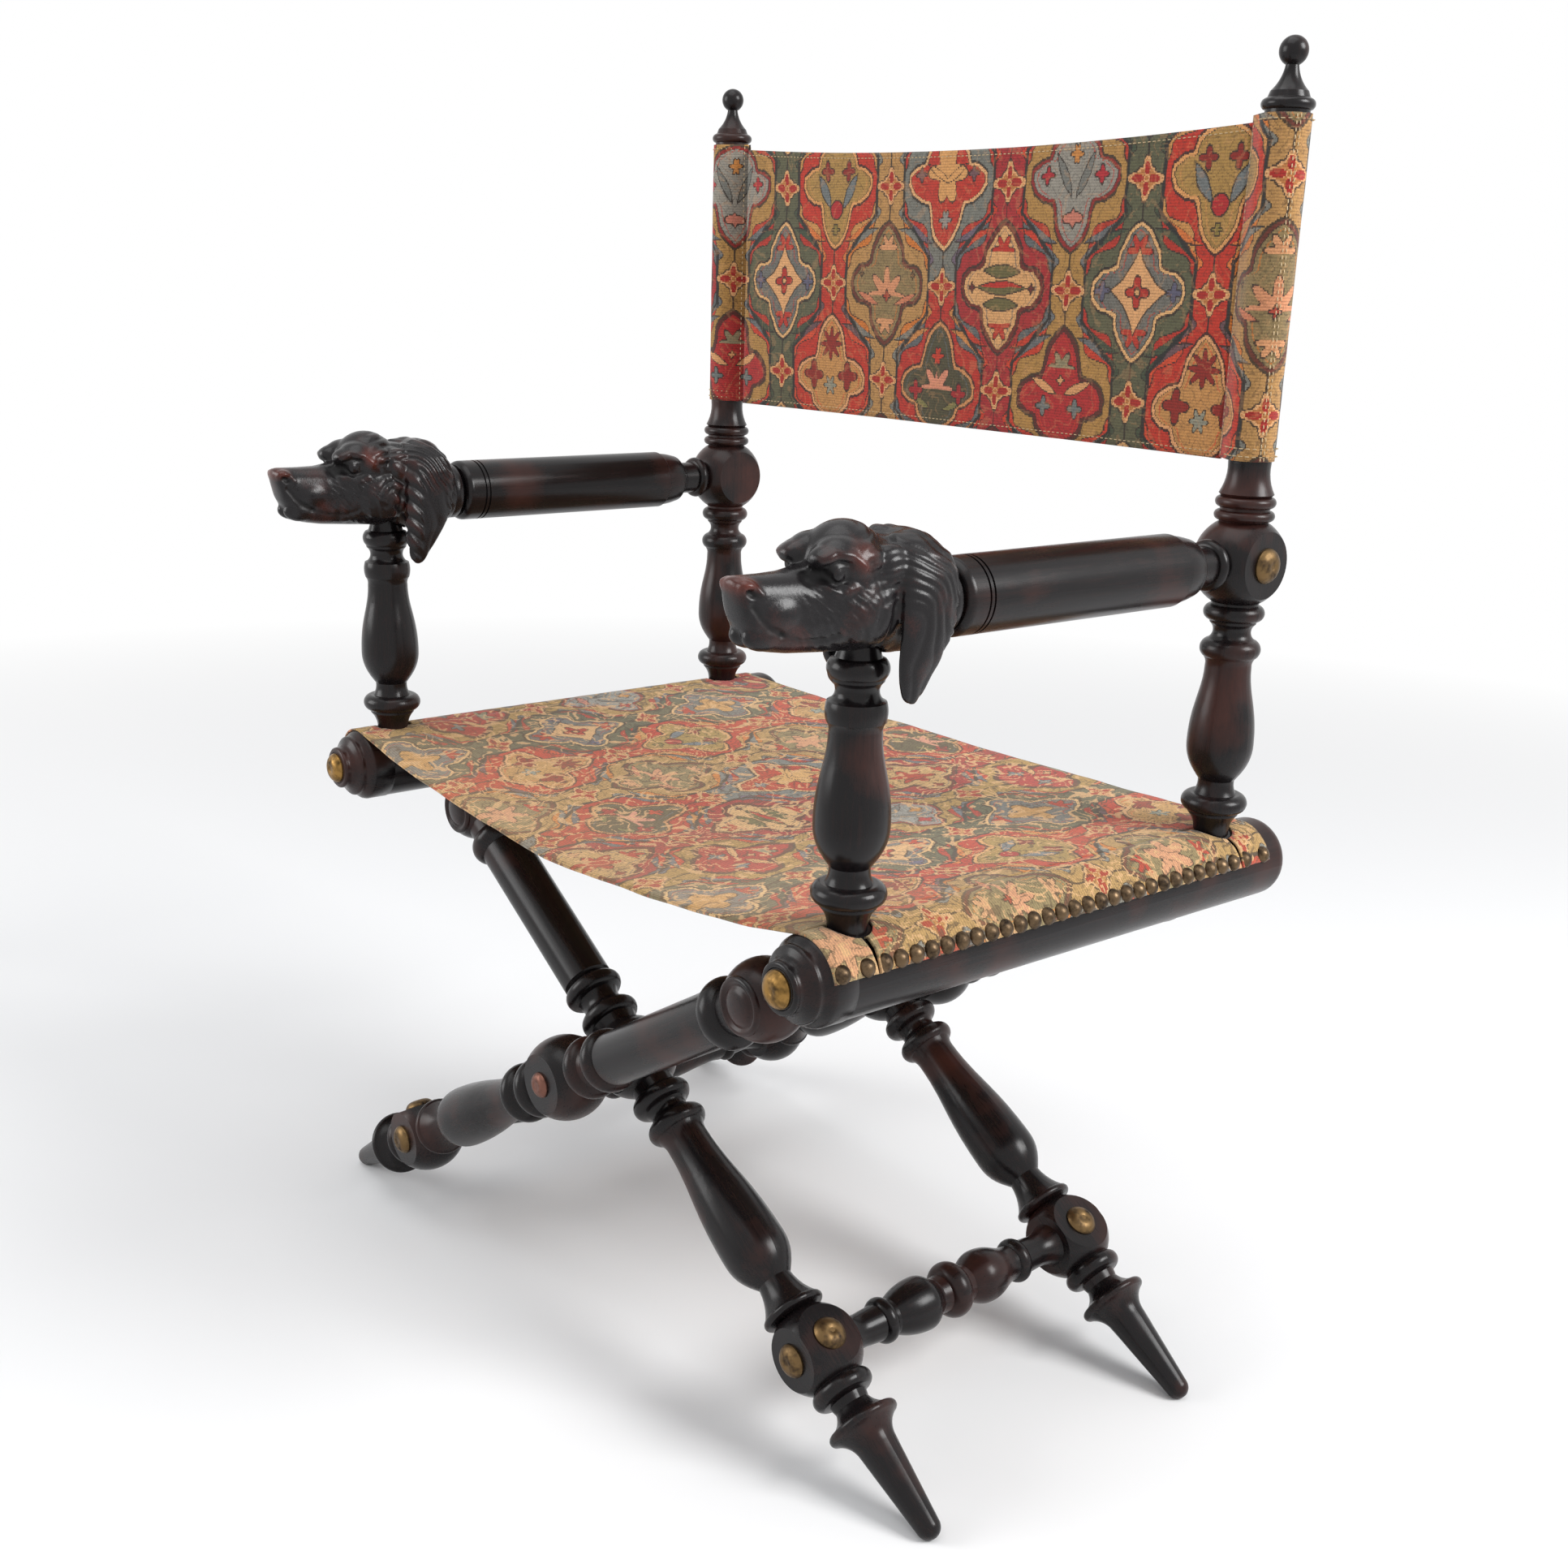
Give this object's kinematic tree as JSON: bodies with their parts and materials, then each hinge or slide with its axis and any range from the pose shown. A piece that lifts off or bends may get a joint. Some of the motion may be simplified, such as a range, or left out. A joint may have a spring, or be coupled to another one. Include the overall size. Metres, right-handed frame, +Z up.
{
  "type": "savonarola chair",
  "caption": "Folding X-frame armchair: turned wood frame, arms ending in carved hound heads, brass studs, slung tapestry seat nailed to the rails and sleeved tapestry back.",
  "frame": {"origin": "on the floor, under the middle of the chair's overall box", "axes": "+X to the right as seen from in front, the sitter faces -Y, +Z up"},
  "size_m": [0.7594, 0.5404, 1.0265],
  "materials": {
    "dark_wood": "ebonised and polished, worn to red-brown on the rings",
    "carved_wood": "ebonised, hand-carved, rubbed red-brown on muzzle and brow",
    "brass": "old domed brass, dulled in the hollows",
    "copper": "copper-coloured domed head, tarnished",
    "steel": "blackened steel",
    "seat_tapestry": "faded ribbed tapestry, ogee medallions in red, gold and grey-green",
    "back_tapestry": "ribbed tapestry, ogee medallions on brick red, stronger colour than the seat"
  },
  "bodies": {
    "side_right": {"seat_rail_right": "dark_wood", "rail_stud_right": "brass", "front_post_right": "dark_wood", "rear_post_right": "dark_wood", "finial_right": "dark_wood", "ball_stud_right": "brass", "arm_right": "dark_wood", "dog_head_right": "carved_wood", "hinge_batten_right": "dark_wood", "batten_screws_right": "steel", "knuckle_pins_right": "steel", "seat_nails_right": "brass", "seat_wrap_right": "seat_tapestry", "back_sleeve_right": "back_tapestry", "seat_panel": "seat_tapestry", "back_panel": "back_tapestry"},
    "leg_a": {"leg_a_front": "dark_wood", "leg_a_rear": "dark_wood", "stretcher_a": "dark_wood", "leg_a_studs": "brass", "pivot_pin_front": "copper", "pivot_pin_rear": "copper", "pivot_spacer_front": "dark_wood", "pivot_spacer_rear": "dark_wood"},
    "leg_b": {"leg_b_front": "dark_wood", "leg_b_rear": "dark_wood", "stretcher_b": "dark_wood", "leg_b_studs": "brass"},
    "side_left": {"seat_rail_left": "dark_wood", "rail_stud_left": "brass", "front_post_left": "dark_wood", "rear_post_left": "dark_wood", "finial_left": "dark_wood", "ball_stud_left": "brass", "arm_left": "dark_wood", "dog_head_left": "carved_wood", "hinge_batten_left": "dark_wood", "batten_screws_left": "steel", "knuckle_pins_left": "steel", "seat_nails_left": "brass", "seat_wrap_left": "seat_tapestry", "back_sleeve_left": "back_tapestry"}
  },
  "joints": [
    {"name": "leg_a_hinge", "type": "hinge", "parent": "side_right", "child": "leg_a", "pos_m": [0.251, 0.02325, 0.392], "axis": [0, -1, 0], "range_deg": [0, 51.5], "deforming": ["seat_panel", "back_panel"]},
    {"name": "leg_b_pivot", "type": "hinge", "parent": "leg_a", "child": "leg_b", "pos_m": [0, 0.02325, 0.237], "axis": [0, 1, 0], "range_deg": [0, 103]},
    {"name": "side_left_hinge", "type": "hinge", "parent": "leg_b", "child": "side_left", "pos_m": [-0.251, 0.02325, 0.392], "axis": [0, -1, 0], "range_deg": [0, 51.5]}
  ],
  "couplings": [
    {"joint": "leg_b_pivot", "follows": "leg_a_hinge", "ratio": 2},
    {"joint": "side_left_hinge", "follows": "leg_a_hinge", "ratio": 1}
  ]
}
